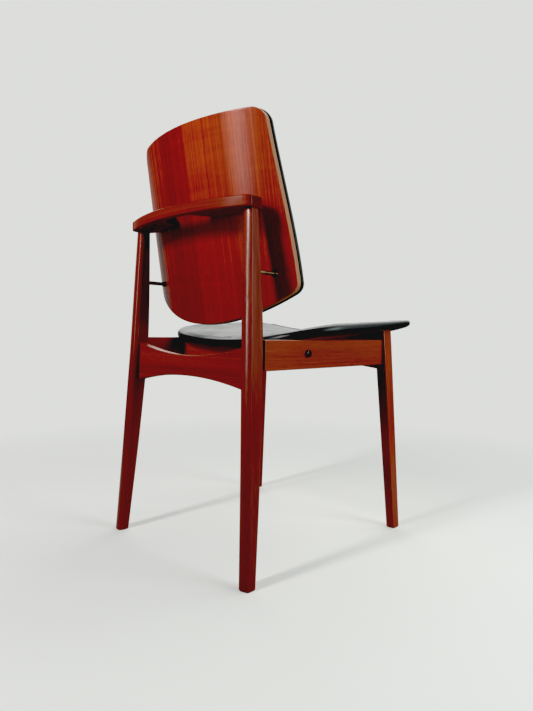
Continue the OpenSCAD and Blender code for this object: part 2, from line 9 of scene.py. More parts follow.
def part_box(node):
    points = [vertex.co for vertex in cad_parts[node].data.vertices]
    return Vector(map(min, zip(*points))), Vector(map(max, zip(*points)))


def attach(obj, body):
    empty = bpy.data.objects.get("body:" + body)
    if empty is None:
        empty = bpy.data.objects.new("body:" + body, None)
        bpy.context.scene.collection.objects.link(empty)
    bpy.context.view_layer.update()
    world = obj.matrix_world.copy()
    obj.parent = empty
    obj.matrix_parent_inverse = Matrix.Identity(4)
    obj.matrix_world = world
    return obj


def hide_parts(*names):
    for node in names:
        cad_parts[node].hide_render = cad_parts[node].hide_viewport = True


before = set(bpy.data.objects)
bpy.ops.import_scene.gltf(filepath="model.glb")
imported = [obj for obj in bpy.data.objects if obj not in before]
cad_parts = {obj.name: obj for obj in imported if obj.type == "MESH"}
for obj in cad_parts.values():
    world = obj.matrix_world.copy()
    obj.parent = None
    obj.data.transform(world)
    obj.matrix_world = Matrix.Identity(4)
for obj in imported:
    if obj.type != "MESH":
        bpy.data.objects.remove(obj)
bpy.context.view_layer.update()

SIDES = {"left": 1, "right": -1}
FIT_GAP = 0.0001

# ---- Camera ----
# The place in metres, the angles in radians and the lens in millimetres
CAMERA_AT = (-0.8358, 0.8581, 0.4371)
CAMERA_YAW = 2.3759
CAMERA_PITCH = -0.0423
CAMERA_ROLL = 0.0116
CAMERA_LENS = 26.89


def make_camera():
    """The camera: yaw turns from +Y towards +X, and roll turns its right side up."""
    look = Vector((sin(CAMERA_YAW) * cos(CAMERA_PITCH), cos(CAMERA_YAW) * cos(CAMERA_PITCH),
                   sin(CAMERA_PITCH)))
    level = Vector((cos(CAMERA_YAW), -sin(CAMERA_YAW), 0))
    plumb = level.cross(look)
    right = level * cos(CAMERA_ROLL) + plumb * sin(CAMERA_ROLL)
    up = plumb * cos(CAMERA_ROLL) - level * sin(CAMERA_ROLL)
    data = bpy.data.cameras.new("camera")
    data.lens = CAMERA_LENS
    data.clip_end = 100
    camera = bpy.data.objects.new("camera", data)
    camera.matrix_world = (Matrix.Translation(CAMERA_AT)
                           @ Matrix((right, up, -look)).transposed().to_4x4())
    bpy.context.scene.collection.objects.link(camera)
    bpy.context.scene.camera = camera


# ---- Node materials ----
class Nodes:
    """A short way to write the node tree of a material or a world."""

    def __init__(self, owner):
        self.owner = owner
        self.owner.use_nodes = True
        self.tree = self.owner.node_tree
        self.shader = self.tree.nodes.get("Principled BSDF")

    def add(self, kind, inputs=None, **settings):
        """A new node with its settings, whose inputs are values or other nodes' outputs."""
        node = self.tree.nodes.new(kind)
        for key, value in settings.items():
            setattr(node, key, value)
        for key, value in (inputs or {}).items():
            self.put(node.inputs[key], value)
        return node

    def put(self, socket, value):
        """Links an output to the socket, or sets the socket's own value."""
        if isinstance(value, bpy.types.NodeSocket):
            self.tree.links.new(value, socket)
        else:
            socket.default_value = value

    def set(self, **values):
        """Sets or links the shader's sockets, whose names have spaces for underscores."""
        for key, value in values.items():
            self.put(self.shader.inputs[key.replace("_", " ")], value)

    def place(self, scale, rotation=(0, 0, 0), shift=(0, 0, 0)):
        """Object coordinates, turned, then stretched, then shifted."""
        coords = self.add("ShaderNodeTexCoord").outputs["Object"]
        turned = self.add("ShaderNodeMapping", {"Vector": coords, "Rotation": rotation})
        return self.add("ShaderNodeMapping", {"Vector": turned.outputs[0], "Scale": scale,
                                              "Location": shift}).outputs[0]

    def axes(self, space="Object"):
        """Coordinates in that space, with an output for each axis."""
        coords = self.add("ShaderNodeTexCoord").outputs[space]
        return self.add("ShaderNodeSeparateXYZ", {"Vector": coords}).outputs

    def noise(self, where, detail, scale=1.0, roughness=0.5, distortion=0.0):
        """A noise texture's value at the given coordinates."""
        return self.add("ShaderNodeTexNoise", {
            "Vector": where, "Scale": scale, "Detail": detail, "Roughness": roughness,
            "Distortion": distortion}).outputs["Fac"]

    def ramp(self, value, stops):
        """A colour ramp; a stop is a place and a grey or a colour."""
        node = self.add("ShaderNodeValToRGB", {"Fac": value})
        elements = node.color_ramp.elements
        while len(elements) < len(stops):
            elements.new(0.5)
        for element, (at, colour) in zip(elements, stops):
            element.position = at
            element.color = (*(colour if isinstance(colour, tuple) else (colour,) * 3), 1)
        return node.outputs["Color"]

    def remap(self, value, low, high, to_low, to_high):
        """The value stretched from one range to another, and kept inside it."""
        return self.add("ShaderNodeMapRange", {
            "Value": value, "From Min": low, "From Max": high, "To Min": to_low,
            "To Max": to_high}).outputs["Result"]

    def math(self, operation, a, b=0.0):
        """One step of arithmetic."""
        return self.add("ShaderNodeMath", {0: a, 1: b}, operation=operation).outputs[0]

    def mix(self, factor, a, b):
        """Two colours mixed by a factor."""
        node = self.add("ShaderNodeMix", data_type="RGBA")
        self.put(node.inputs["Factor"], factor)
        self.put(node.inputs["A"], a if isinstance(a, bpy.types.NodeSocket) else (*a, 1))
        self.put(node.inputs["B"], b if isinstance(b, bpy.types.NodeSocket) else (*b, 1))
        return node.outputs["Result"]

    def bump(self, height, distance, strength):
        """A bump from a height value, its distance in metres."""
        return self.add("ShaderNodeBump", {"Height": height, "Distance": distance,
                                           "Strength": strength}).outputs["Normal"]


GRAIN_TURN = {"X": (0, pi / 2, 0), "Y": (pi / 2, 0, 0), "Z": (0, 0, 0)}
# Dark, middle and light tones of the solid wood, the two veneers and the plug caps
SOLID_WOOD = ((0.170, 0.022, 0.010), (0.275, 0.047, 0.017), (0.360, 0.078, 0.024))
RED_VENEER = ((0.235, 0.019, 0.008), (0.365, 0.048, 0.013), (0.520, 0.125, 0.024))
BOARD_VENEER = ((0.300, 0.085, 0.030), (0.460, 0.150, 0.055), (0.600, 0.230, 0.090))
CAP_WOOD = ((0.030, 0.010, 0.007), (0.055, 0.016, 0.010), (0.090, 0.026, 0.014))
TONE_STOPS = (0.34, 0.50, 0.68)
# Noise scales across the grain
BAND_SCALE = 13
LINE_SCALE = 150
FIBRE_SCALE = 620
PORE_SCALE = 1100
# The noise over which pores show, the turn towards the grain's ends over which a face darkens,
# and each one's shade of the darkest tone
PORE_NOISE = (0.60, 0.72)
END_FACING = (0.75, 0.97)
PORE_SHADE = 0.4
END_SHADE = 0.3
# The back's veneer: where its leaves meet and how much darker the left one is, the heights over
# which its foot darkens with painted shade (a touch lighter high up) and its figure calms, the
# shimmer, and where a painted haze of reflected light makes its right edge browner
VENEER_JOINT_X = (0.001, 0.003)
VENEER_LEAF = 0.062
VENEER_SHADE_AND_CALM_Z = (0.52, 0.76)
VENEER_PAINTED_SHADE = (-0.085, 0.015)
VENEER_CALM = 0.45
VENEER_SHIMMER = 0.028
VENEER_PAINTED_HAZE_X = (-0.17, -0.07)
VENEER_PAINTED_HAZE = 0.045
# Painted shade: a leg's colour darkens by this much from this height to the floor, standing in for
# the light that falls off low down
LEG_PAINTED_SHADE_Z = 0.45
LEG_PAINTED_SHADE = 0.07


def grain_tone(n, along, seed, figure, depth):
    """Light and dark of the wood: slow bands, growth lines and fibres along the grain."""
    turn = GRAIN_TURN[along]
    shift = (seed * 1.7, seed * 2.3, seed * 0.9)
    broad = n.noise(n.place((BAND_SCALE, BAND_SCALE * depth, 0.5), turn, shift),
                    detail=2.0, distortion=0.3)
    lines = n.noise(n.place((LINE_SCALE, LINE_SCALE * depth, 0.7), turn, shift),
                    detail=4.0, roughness=0.7)
    fibre = n.noise(n.place((FIBRE_SCALE, FIBRE_SCALE * depth, 3), turn, shift),
                    detail=2.0, roughness=0.6)
    tone = n.mix(figure, broad, lines)
    return n.mix(0.20, tone, fibre), lines, fibre, shift


def wood(name, along, seed, tones=SOLID_WOOD, figure=0.30, gloss=0.17, shine=0.50, tone=None,
         pore_depth=0.35, depth=1.0):
    """Polished red-brown wood whose grain runs along one axis of the chair.

    On a curved board, depth keeps its grain lines from crossing the curve.
    """
    n = Nodes(bpy.data.materials.new(name))
    base, lines, fibre, shift = grain_tone(n, along, seed, figure, depth)
    if tone:
        base = tone(n, base)
    pores = n.noise(n.place((PORE_SCALE, PORE_SCALE * depth, 60), GRAIN_TURN[along], shift),
                    detail=1.0)
    pore_mask = n.remap(pores, *PORE_NOISE, 0.0, pore_depth)
    colour = n.ramp(base, list(zip(TONE_STOPS, tones)))
    colour = n.mix(pore_mask, colour, tuple(channel * PORE_SHADE for channel in tones[0]))
    facing = n.math("ABSOLUTE", n.axes("Normal")[along])
    end_grain = n.remap(facing, *END_FACING, 0.0, 0.68)
    colour = n.mix(end_grain, colour, tuple(channel * END_SHADE for channel in tones[0]))
    n.set(Base_Color=colour,
          Roughness=n.remap(n.mix(0.6, fibre, lines), 0.35, 0.65, gloss, gloss + 0.12),
          Normal=n.bump(n.math("SUBTRACT", fibre, pore_mask), 0.00003, 0.4))
    n.set(Specular_IOR_Level=shine)
    return n.owner


def leg_tone_painted_shade(n, tone):
    """A leg's wood with painted shade: darker towards the foot, where less light reaches."""
    return n.math("ADD", tone, n.remap(n.axes()["Z"], 0.0, LEG_PAINTED_SHADE_Z, -LEG_PAINTED_SHADE, 0.0))


def veneer_tone(n, tone):
    """The back's veneer: two leaves, a shimmer, a right edge browned by a painted haze of reflected
    light, and a calmer foot darkened by painted shade.
    """
    axes = n.axes()
    leaf = n.remap(axes["X"], *VENEER_JOINT_X, 0.0, -VENEER_LEAF)
    # Painted shade: the tone darkens low on the back and lifts a little high up
    foot = n.remap(axes["Z"], *VENEER_SHADE_AND_CALM_Z, *VENEER_PAINTED_SHADE)
    shimmer = n.noise(n.place((11, 0, 95)), detail=3.0, distortion=0.3)
    shimmer = n.remap(shimmer, 0.3, 0.7, -VENEER_SHIMMER, VENEER_SHIMMER)
    calm = n.remap(axes["Z"], *VENEER_SHADE_AND_CALM_Z, VENEER_CALM, 0.0)
    tone = n.mix(calm, tone, (TONE_STOPS[1],) * 3)
    # Painted haze: the right edge lightened and browned as if by a broad reflection
    brown = n.remap(axes["X"], *VENEER_PAINTED_HAZE_X, VENEER_PAINTED_HAZE, 0.0)
    tone = n.math("ADD", n.math("ADD", tone, brown), n.math("ADD", leaf, foot))
    return n.math("ADD", tone, shimmer)


# Plies of the bent boards, from the face that carries the veneer to the other one
PLY_COUNT = 7
PLY_PALE = (0.40, 0.190, 0.095)
PLY_DARK = (0.25, 0.095, 0.045)


def ply_edge(name):
    """The cut edge of plywood: thin layers, told apart by the depth stored on the mesh."""
    n = Nodes(bpy.data.materials.new(name))
    depth = n.add("ShaderNodeAttribute", attribute_name="ply_depth").outputs["Fac"]
    wander = n.noise(n.place((60, 60, 60)), detail=2.0)
    layers = n.math("ADD", n.math("MULTIPLY", depth, PLY_COUNT * pi),
                    n.math("MULTIPLY", wander, 0.5))
    stripe = n.math("POWER", n.math("ABSOLUTE", n.math("COSINE", layers)), 0.6)
    speck = n.noise(n.place((700, 700, 160)), detail=3.0)
    tone = n.mix(0.35, stripe, speck)
    colour = n.ramp(tone, [(0.2, PLY_DARK), (0.75, PLY_PALE)])
    n.set(Base_Color=colour, Roughness=n.remap(speck, 0.3, 0.7, 0.42, 0.58),
          Normal=n.bump(stripe, 0.00008, 0.5))
    return n.owner


LEATHER_GRAIN = 0.00008


def leather(name, shine):
    """Smooth black leather with a fine pebble, pores and slow changes of gloss."""
    n = Nodes(bpy.data.materials.new(name))
    where = n.place((1, 1, 1))
    cells = n.add("ShaderNodeTexVoronoi", {"Vector": where, "Scale": 620.0,
                                           "Randomness": 1.0}).outputs["Distance"]
    fine = n.noise(where, 3.0, 1400.0)
    worn = n.noise(where, 4.0, 16.0, 0.6)
    crease = n.noise(n.place((60, 18, 60)), detail=5.0, roughness=0.55, distortion=1.2)
    height = n.math("ADD", n.math("MULTIPLY", cells, 0.8), n.math("MULTIPLY", fine, 0.35))
    height = n.math("ADD", height, n.math("MULTIPLY", crease, 0.8))
    colour = n.ramp(worn, [(0.35, (0.014, 0.015, 0.017)), (0.70, (0.022, 0.024, 0.026))])
    n.set(Base_Color=colour, Roughness=n.remap(worn, 0.35, 0.7, 0.33, 0.43),
          Normal=n.bump(height, LEATHER_GRAIN, 0.5))
    n.set(Specular_IOR_Level=shine)
    return n.owner


def metal(name, base, tarnish, rough, turned="Z"):
    """Turned or plain metal with fine tool lines and a little tarnish."""
    n = Nodes(bpy.data.materials.new(name))
    lines = n.noise(n.place((40, 40, 2600), GRAIN_TURN[turned]), detail=2.0)
    film = n.noise(n.place((70, 70, 70)), detail=4.0)
    colour = n.ramp(film, [(0.35, tarnish), (0.62, base)])
    n.set(Base_Color=colour, Metallic=1.0,
          Roughness=n.remap(lines, 0.3, 0.7, rough, rough + 0.15),
          Normal=n.bump(lines, 0.00003, 0.5))
    return n.owner


def plain_wood(name, base, dark, along):
    """Unfinished light wood, such as a dowel's."""
    n = Nodes(bpy.data.materials.new(name))
    fibre = n.noise(n.place((600, 600, 14), GRAIN_TURN[along]), detail=4.0)
    broad = n.noise(n.place((40, 40, 3), GRAIN_TURN[along]), detail=3.0)
    colour = n.ramp(n.mix(0.5, fibre, broad), [(0.35, dark), (0.65, base)])
    n.set(Base_Color=colour, Roughness=n.remap(fibre, 0.3, 0.7, 0.55, 0.72),
          Normal=n.bump(fibre, 0.00008, 0.6))
    return n.owner


def foam(name):
    """Open-celled upholstery foam."""
    n = Nodes(bpy.data.materials.new(name))
    cells = n.add("ShaderNodeTexVoronoi", {"Vector": n.place((1, 1, 1)),
                                           "Scale": 700.0}).outputs["Distance"]
    age = n.noise(n.place((20, 20, 20)), detail=3.0)
    colour = n.ramp(age, [(0.3, (0.56, 0.45, 0.22)), (0.7, (0.74, 0.66, 0.44))])
    n.set(Base_Color=colour, Roughness=n.remap(cells, 0.0, 0.6, 0.95, 0.8),
          Normal=n.bump(cells, 0.0005, 0.8))
    return n.owner


# ---- Mesh helpers ----
def add_mesh(name, points, faces, materials):
    """A new smooth-shaded mesh object with its materials."""
    mesh = bpy.data.meshes.new(name)
    mesh.from_pydata([tuple(point) for point in points], [], faces)
    mesh.update()
    for polygon in mesh.polygons:
        polygon.use_smooth = True
    for material in materials:
        mesh.materials.append(material)
    piece = bpy.data.objects.new(name, mesh)
    bpy.context.scene.collection.objects.link(piece)
    return piece


def recalc_outward(piece):
    """Turns every face of a piece to look outward."""
    bpy.context.view_layer.objects.active = piece
    piece.select_set(True)
    bpy.ops.object.mode_set(mode="EDIT")
    bpy.ops.mesh.select_all(action="SELECT")
    bpy.ops.mesh.normals_make_consistent(inside=False)
    bpy.ops.object.mode_set(mode="OBJECT")
    piece.select_set(False)


def skin(name, rings, materials, closed=True):
    """A skin over rings of equally many points; a closed one has a flat cap at each end."""
    count = len(rings[0])
    points = [point for ring in rings for point in ring]
    faces = []
    for k in range(len(rings) - 1):
        for i in range(count):
            j = (i + 1) % count
            faces.append((k * count + i, k * count + j, (k + 1) * count + j,
                          (k + 1) * count + i))
    if closed:
        faces.append(tuple(range(count - 1, -1, -1)))
        faces.append(tuple(range(len(points) - count, len(points))))
    piece = add_mesh(name, points, faces, materials)
    if closed:
        recalc_outward(piece)
    return piece


def close_centre(piece, count):
    """Fills the hole inside the first ring of an open skin."""
    edit = bmesh.new()
    edit.from_mesh(piece.data)
    edit.verts.ensure_lookup_table()
    edit.faces.new([edit.verts[i] for i in range(count)]).smooth = True
    edit.to_mesh(piece.data)
    edit.free()


def even_light(piece, keep_sharp=False):
    """Keeps flat faces flat to the light beside small rounded edges."""
    weighted = piece.modifiers.new("even light", "WEIGHTED_NORMAL")
    weighted.weight = 100
    weighted.mode = "FACE_AREA"
    weighted.keep_sharp = keep_sharp


def soften(piece, width, angle=30):
    """Rounds a piece's sharp edges and keeps its flat faces flat to the light."""
    bevel = piece.modifiers.new("soft edges", "BEVEL")
    bevel.width = width
    bevel.segments = 3
    bevel.limit_method = "ANGLE"
    bevel.angle_limit = radians(angle)
    even_light(piece, keep_sharp=True)


def place_piece(piece, slot, *nodes):
    """Fixes a piece to the chair, in place of the CAD nodes it stands for."""
    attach(piece, "root")
    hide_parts(*nodes)
    return piece


def steps(low, high, count):
    """Evenly spaced values from low to high."""
    return [low + (high - low) * i / count for i in range(count + 1)]


def lookup(at, table):
    """A table's value between its rows, and level beyond its ends."""
    if at <= table[0][0]:
        return table[0][1]
    for (a, value_a), (b, value_b) in zip(table, table[1:]):
        if at <= b:
            return value_a + (value_b - value_a) * (at - a) / (b - a)
    return table[-1][1]


# How far up and down a tapered piece's sizes are averaged, so its tapers meet softly
BLEND_REACH = 0.050


def along(at, table, top):
    """The table's value, averaged over a stretch of height away from both ends."""
    plain = lookup(at, table)
    if min(at, top - at) < BLEND_REACH:
        return plain
    return (lookup(at - BLEND_REACH, table) + lookup(at + BLEND_REACH, table) + 2 * plain) / 4


# ---- The seat's shape ----
# Height at the middle, slope and sway from front to rear, dish across, and its change forward
SEAT_MID_Z = 0.42835
SEAT_FALL = 0.0396
SEAT_SWAY = 0.047
SEAT_DISH = 0.52
SEAT_FLARE = 0.305
# The front edge's rise, which grows forward of a line
SEAT_LIFT = 0.0035
SEAT_LIFT_Y = -0.110
SEAT_LIFT_REACH = 0.138
SEAT_BOARD_DROP = 0.005
SEAT_PLY = 0.007
SEAT_UNDER_DROP = SEAT_BOARD_DROP + SEAT_PLY
# The share by which the seat thins towards its front edge, and where
SEAT_THIN = 0.27
SEAT_THIN_Y = (-0.215, -0.100)


def seat_z(x, y):
    """Height of the seat's upper face, without the padding's crown."""
    front = max(0, (SEAT_LIFT_Y - y) / SEAT_LIFT_REACH)
    return (SEAT_LIFT * front * front + SEAT_MID_Z - SEAT_FALL * y - SEAT_SWAY * y * y
            + SEAT_DISH * (1 - SEAT_FLARE * y) * x * x)


def seat_share(y):
    """The seat's thickness at y as a share of its full thickness: less at the front."""
    rear, front = SEAT_THIN_Y[1], SEAT_THIN_Y[0]
    ahead = min(1, max(0, (rear - y) / (rear - front)))
    return 1 - SEAT_THIN * ahead * ahead * (3 - 2 * ahead)


def seat_under(x, y):
    """Height of the seat board's underside."""
    return seat_z(x, y) - SEAT_UNDER_DROP * seat_share(y)


# ---- Legs ----
# Each table gives a size or a place at heights above the floor
REAR_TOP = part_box("rear_leg_left")[1].z
REAR_FOOT_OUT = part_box("rear_leg_left")[1].x
REAR_OUT = ((0, REAR_FOOT_OUT), (0.400, 0.1906), (0.520, 0.185), (REAR_TOP, 0.1772))
REAR_BACK = ((0, 0.2466), (0.200, 0.2344), (0.400, 0.2237), (0.520, 0.219), (REAR_TOP, 0.2136))
REAR_WIDE = ((0, 0.0235), (0.400, 0.025), (0.520, 0.0247), (REAR_TOP, 0.0219))
REAR_DEEP = ((0, 0.0177), (0.200, 0.0258), (0.400, 0.0309), (0.520, 0.0255), (REAR_TOP, 0.0173))
# The rear leg's section: radii, and the turns in degrees where its shallow back starts and ends
REAR_CRISP_R = 0.0012
REAR_SOFT_R = 0.009
REAR_TURN_OUT = 32
REAR_TURN_IN = 5
FRONT_H = 0.452
FRONT_TOP = FRONT_H + SEAT_LIFT
FRONT_X = ((0, 0.2184), (FRONT_H, 0.1915))
FRONT_Y = ((0, -0.2057), (FRONT_H, -0.1891))
FRONT_WIDE = ((0, 0.019), (0.400, 0.0245), (FRONT_H, 0.0245))
FRONT_DEEP = ((0, 0.023), (0.400, 0.031), (FRONT_H, 0.031))
LEG_EDGE_R = 0.0025
LEG_RINGS = 60
# Heights over which a leg's ends are eased, and the share of them that it draws in
FOOT_EASE = 0.0012
FOOT_EASE_IN = 0.7
TOP_EASE = 0.0006
TOP_EASE_IN = 0.8


def arc(start, radius, a0, a1, count):
    """Points along an arc whose outward normal turns from a0 to a1, in degrees from +Y."""
    return [(start[0] + radius * (sin(radians(a)) - sin(radians(a0))),
             start[1] + radius * (cos(radians(a)) - cos(radians(a0))))
            for a in steps(a0, a1, count)]


def rear_section(wide, deep):
    """Rear leg section about its crisp outer rear corner."""
    crisp = arc((0, -REAR_CRISP_R), REAR_CRISP_R, 90, REAR_TURN_OUT, 3)
    shallow_r = ((wide - REAR_SOFT_R * (1 + sin(radians(REAR_TURN_IN))))
                 / (sin(radians(REAR_TURN_OUT)) - sin(radians(REAR_TURN_IN))))
    shallow = arc(crisp[-1], shallow_r, REAR_TURN_OUT, REAR_TURN_IN, 8)
    tight = arc(shallow[-1], REAR_SOFT_R, REAR_TURN_IN, -90, 12)
    inner_x = tight[-1][0]
    inner = arc((inner_x, LEG_EDGE_R - deep), LEG_EDGE_R, -90, -180, 4)
    outer = arc((-LEG_EDGE_R, -deep), LEG_EDGE_R, -180, -270, 4)
    return crisp + shallow[1:] + tight[1:] + inner + outer


def front_section(wide, deep):
    """Front leg section about its centre."""
    x, y, r = wide / 2, deep / 2, LEG_EDGE_R
    return (arc((x, y - r), r, 90, 0, 4) + arc((r - x, y), r, 0, -90, 4)
            + arc((-x, r - y), r, -90, -180, 4) + arc((x - r, -y), r, 180, 90, 4))


def leg_heights(top):
    """Heights of a leg's rings, with an eased foot and a small ease at the top."""
    return [0.0, FOOT_EASE * 0.4, FOOT_EASE] + steps(0.004, top - 0.002, LEG_RINGS) + [
        top - TOP_EASE, top]


def eased_ring(section, inset):
    """A section drawn in towards its middle by about the inset."""
    middle_x = sum(p[0] for p in section) / len(section)
    middle_y = sum(p[1] for p in section) / len(section)
    ring = []
    for x, y in section:
        reach = hypot(x - middle_x, y - middle_y)
        ring.append((middle_x + (x - middle_x) * (1 - inset / reach),
                     middle_y + (y - middle_y) * (1 - inset / reach)))
    return ring


def make_rear_leg(side, material):
    """One rear leg: flat outside, soft inside, with a shallow curved back."""
    rings = []
    for z in leg_heights(REAR_TOP):
        section = rear_section(along(z, REAR_WIDE, REAR_TOP), along(z, REAR_DEEP, REAR_TOP))
        inset = (max(0, FOOT_EASE - z) * FOOT_EASE_IN
                 + max(0, z - REAR_TOP + TOP_EASE) * TOP_EASE_IN)
        out, back = along(z, REAR_OUT, REAR_TOP), along(z, REAR_BACK, REAR_TOP)
        rings.append([(SIDES[side] * (out + x), back + y, z)
                      for x, y in eased_ring(section, inset)])
    piece = skin(f"rear_leg_{side}_shaped", rings, [material])
    even_light(piece)
    return place_piece(piece, "frame_wood", f"rear_leg_{side}")


def make_front_leg(side, material):
    """One front leg, cut at the top to the seat's underside."""
    rings = []
    for z in leg_heights(FRONT_TOP):
        section = front_section(along(z, FRONT_WIDE, FRONT_H), along(z, FRONT_DEEP, FRONT_H))
        middle_x, middle_y = along(z, FRONT_X, FRONT_H), along(z, FRONT_Y, FRONT_H)
        inset = max(0, FOOT_EASE - z) * FOOT_EASE_IN
        ring = []
        for x, y in eased_ring(section, inset):
            top = seat_under(middle_x + x, middle_y + y)
            ring.append((SIDES[side] * (middle_x + x), middle_y + y, min(z, top)))
        rings.append(ring)
        if z > max(seat_under(middle_x + x, middle_y + y) for x, y in section):
            break
    piece = skin(f"front_leg_{side}_shaped", rings, [material])
    even_light(piece)
    return place_piece(piece, "frame_wood", f"front_leg_{side}")


# ---- Rails ----
# The side rails' centre line, as x and y at its ends, and each cross rail's place and arcs
RAIL_REAR = (0.183, 0.208)
RAIL_FRONT = (0.1905, -0.190)
RAIL_T = 0.020
RAIL_EDGE_R = 0.0016
FRONT_RAIL_Y = -0.190
FRONT_RAIL_LOW = 0.371
FRONT_RAIL_ARCH_R = 1.5
STRETCHER_Y = 0.206
STRETCHER_TOP = 0.3915
STRETCHER_LOW = 0.3515
STRETCHER_TOP_R = 0.640
STRETCHER_LOW_R = 0.790
BEARER_Y = 0.079
CROSS_RAIL_RINGS = 48


def rail_centre_x(y):
    """Distance of a side rail's centre line from the chair's middle plane."""
    share = (RAIL_REAR[1] - y) / (RAIL_REAR[1] - RAIL_FRONT[1])
    return RAIL_REAR[0] + (RAIL_FRONT[0] - RAIL_REAR[0]) * share


def make_side_rail(side, material):
    """One side rail, shouldered into both legs."""
    low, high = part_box(f"side_rail_{side}")
    rings = []
    for y in steps(low.y, high.y, 8):
        x = rail_centre_x(y)
        rings.append([(SIDES[side] * (x + dx), y, z)
                      for dx, z in ((-RAIL_T / 2, low.z), (RAIL_T / 2, low.z),
                                    (RAIL_T / 2, high.z), (-RAIL_T / 2, high.z))])
    piece = skin(f"side_rail_{side}_shaped", rings, [material])
    soften(piece, RAIL_EDGE_R)
    return place_piece(piece, "frame_wood", f"side_rail_{side}")


def make_cross_rail(node, box, material, y, low_z, top_z):
    """A rail that runs across the chair between two height profiles."""
    low, high = box
    front, rear = y - (high.y - low.y) / 2, y + (high.y - low.y) / 2
    rings = [[(x, front, low_z(x, front)), (x, rear, low_z(x, rear)),
              (x, rear, top_z(x, rear)), (x, front, top_z(x, front))]
             for x in steps(-high.x, high.x, CROSS_RAIL_RINGS)]
    piece = skin(f"{node}_shaped", rings, [material])
    soften(piece, RAIL_EDGE_R)
    return place_piece(piece, "frame_wood", node)


def arch(x, crown, radius):
    """Height of an upward arch of that radius, its crown on the middle plane."""
    return crown - radius + sqrt(radius * radius - x * x)


def hollow(x, lowest, radius):
    """Height of a downward arc of that radius, lowest on the middle plane."""
    return lowest + radius - sqrt(radius * radius - x * x)


def make_cross_rails(material):
    """Front rail, rear stretcher and seat bearer."""
    make_cross_rail("front_rail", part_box("front_rail"), material, FRONT_RAIL_Y,
                    lambda x, y: arch(x, FRONT_RAIL_LOW, FRONT_RAIL_ARCH_R),
                    lambda x, y: seat_under(x, y) - FIT_GAP)
    make_cross_rail("rear_stretcher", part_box("rear_stretcher"), material, STRETCHER_Y,
                    lambda x, y: arch(x, STRETCHER_LOW, STRETCHER_LOW_R),
                    lambda x, y: hollow(x, STRETCHER_TOP, STRETCHER_TOP_R))
    low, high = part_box("seat_bearer")
    make_cross_rail("seat_bearer", (low, high), material, BEARER_Y, lambda x, y: low.z,
                    lambda x, y: min(high.z, seat_under(x, y) - FIT_GAP))


# ---- The back's shape ----
# A leaning cylinder, by its rear face's radius and its depth at a height of reference
BACK_R = 0.421
BACK_LEAN = radians(9.85)
BACK_PLY = 0.0097
BACK_REF_Z = 0.650
BACK_REF_Y = 0.2014
BACK_AXIS_Y = BACK_REF_Y - BACK_R / cos(BACK_LEAN)
# The outline from behind: half widths, arcs, corners and the sides' bow
BACK_LOW, BACK_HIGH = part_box("back_shell")
BACK_SIDE_X = 0.2068
BACK_LOW_R = 0.370
BACK_LOW_CORNER_R = 0.026
BACK_TOP_X = 0.1825
BACK_TOP_R = 0.026
BACK_SIDE_BOW = 0.75
BACK_MIDDLE_Z = 0.640


def back_y(x, z, radius):
    """Depth of the leaning cylinder of that radius at width x and height z."""
    return (BACK_AXIS_Y + (z - BACK_REF_Z) * tan(BACK_LEAN)
            + sqrt(radius * radius - x * x) / cos(BACK_LEAN))


def mirrored(half):
    """A closed outline from its +X half, which starts and ends on the middle plane."""
    return half + [(-x, y) for x, y in half[-2:0:-1]]


def back_outline(inset):
    """The back's outline from behind, in width and height."""
    low_arc_end = asin((BACK_SIDE_X - BACK_LOW_CORNER_R) / (BACK_LOW_R - BACK_LOW_CORNER_R))
    corner_z = BACK_LOW.z + BACK_LOW_R - (BACK_LOW_R - BACK_LOW_CORNER_R) * cos(low_arc_end)
    top = BACK_HIGH.z
    r = BACK_LOW_R - inset
    half = [(r * sin(a), BACK_LOW.z + BACK_LOW_R - r * cos(a))
            for a in steps(0, low_arc_end, 20)]
    r = BACK_LOW_CORNER_R - inset
    half += [(BACK_SIDE_X - BACK_LOW_CORNER_R + r * sin(a), corner_z - r * cos(a))
             for a in steps(low_arc_end, pi / 2, 10)[1:]]
    for t in steps(0, 1, 24)[1:]:
        fall = (BACK_SIDE_X - BACK_TOP_X) * (t - BACK_SIDE_BOW * t * (1 - t) ** 2)
        half.append((BACK_SIDE_X - inset - fall, corner_z + (top - BACK_TOP_R - corner_z) * t))
    r = BACK_TOP_R - inset
    half += [(BACK_TOP_X - BACK_TOP_R + r * sin(a), top - BACK_TOP_R + r * cos(a))
             for a in steps(pi / 2, 0, 10)[1:]]
    half += [((BACK_TOP_X - BACK_TOP_R) * (1 - t), top - inset) for t in steps(0, 1, 16)[1:]]
    return mirrored(half)


def back_ring(share, inset, depth):
    """A ring inside the back's outline, at a depth below its rear face."""
    ring = []
    for x, z in back_outline(inset):
        at_x, at_z = x * share, BACK_MIDDLE_Z + (z - BACK_MIDDLE_Z) * share
        ring.append((at_x, back_y(at_x, at_z, BACK_R - depth), at_z))
    return ring


# The leather's thickness, the places of a cover's and a face's rings from the middle outward,
# how far in from the edge the padding's crown fades, and a board's eased arrises
COVER_T = 0.0015
COVER_SHARES = tuple(steps(0.02, 0.90, 20))
FACE_SHARES = (0.02, 0.1, 0.2, 0.3, 0.4, 0.5, 0.6, 0.7, 0.8, 0.88, 0.94, 0.98)
CROWN_FADE = 0.060
PLY_EDGE_R = 0.0012
SEAT_PLY_EDGE_R = 0.0008


